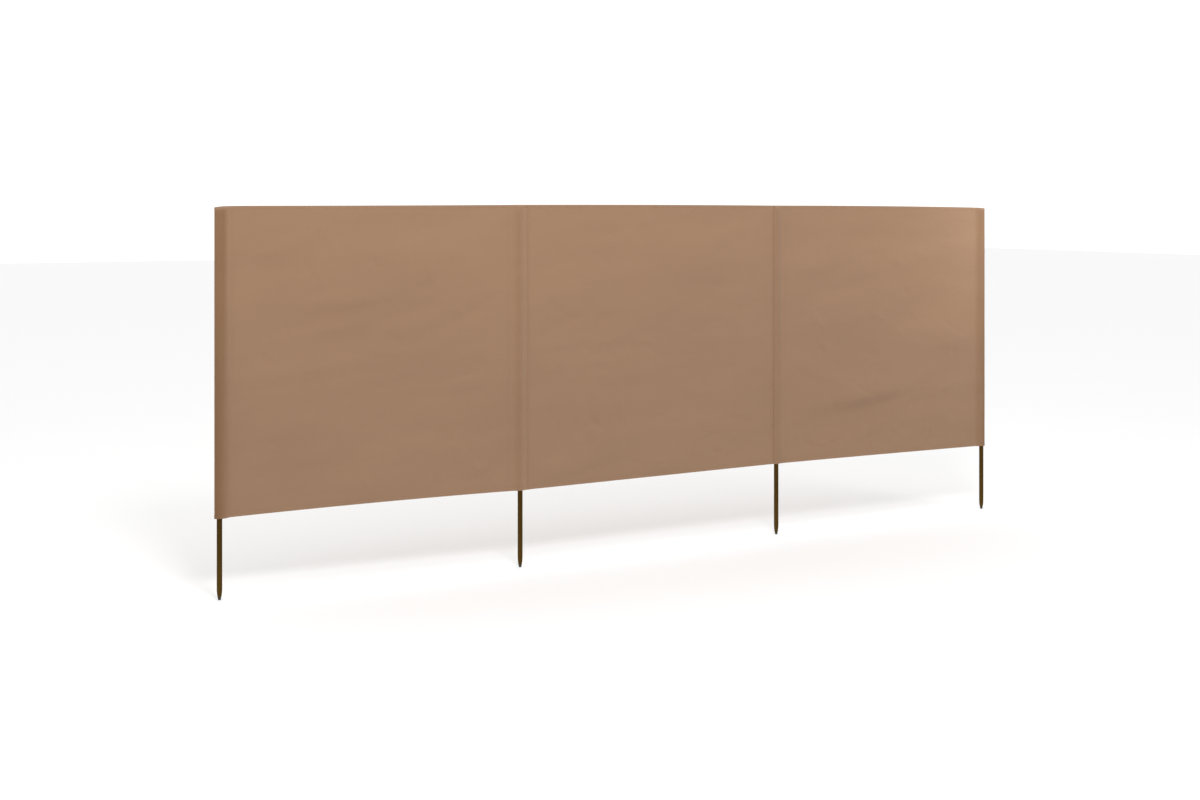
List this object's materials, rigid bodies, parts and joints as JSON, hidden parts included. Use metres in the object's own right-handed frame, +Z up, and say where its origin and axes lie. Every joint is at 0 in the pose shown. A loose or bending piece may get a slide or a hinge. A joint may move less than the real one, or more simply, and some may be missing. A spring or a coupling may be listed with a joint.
{
  "type": "beach windbreak",
  "caption": "Long upright windbreak of stretched cloth bays between slim round poles with pointed lower ends; each end bay swings about its inner pole.",
  "frame": {"origin": "flat end of the second pole's point, counted from the left as seen from the front", "axes": "+X along the middle bay from the second pole to the third, +Y to the back, +Z up along the poles"},
  "size_m": [3.9971, 0.1281, 1.6],
  "materials": {
    "cloth": "plain weave, matt, taupe",
    "pole_coating": "satin brown powder coat",
    "black_plastic": "matt black"
  },
  "bodies": {
    "left_bay": {"pole_1": "pole_coating", "pole_point_1": "black_plastic", "sleeve_1": "cloth", "left_panel": "cloth", "left_top_hem": "cloth", "left_bottom_hem": "cloth"},
    "middle_bay": {"pole_2": "pole_coating", "pole_point_2": "black_plastic", "sleeve_2": "cloth", "pole_3": "pole_coating", "pole_point_3": "black_plastic", "sleeve_3": "cloth", "middle_panel": "cloth", "middle_top_hem": "cloth", "middle_bottom_hem": "cloth"},
    "right_bay": {"pole_4": "pole_coating", "pole_point_4": "black_plastic", "sleeve_4": "cloth", "right_panel": "cloth", "right_top_hem": "cloth", "right_bottom_hem": "cloth"}
  },
  "joints": [
    {"name": "left_bay_swing", "type": "hinge", "parent": "middle_bay", "child": "left_bay", "pos_m": [0, 0, 0], "axis": [0, 0, 1], "range_deg": [-86, 166]},
    {"name": "right_bay_swing", "type": "hinge", "parent": "middle_bay", "child": "right_bay", "pos_m": [1.366, 0, 0], "axis": [0, 0, 1], "range_deg": [-89, 165]}
  ]
}
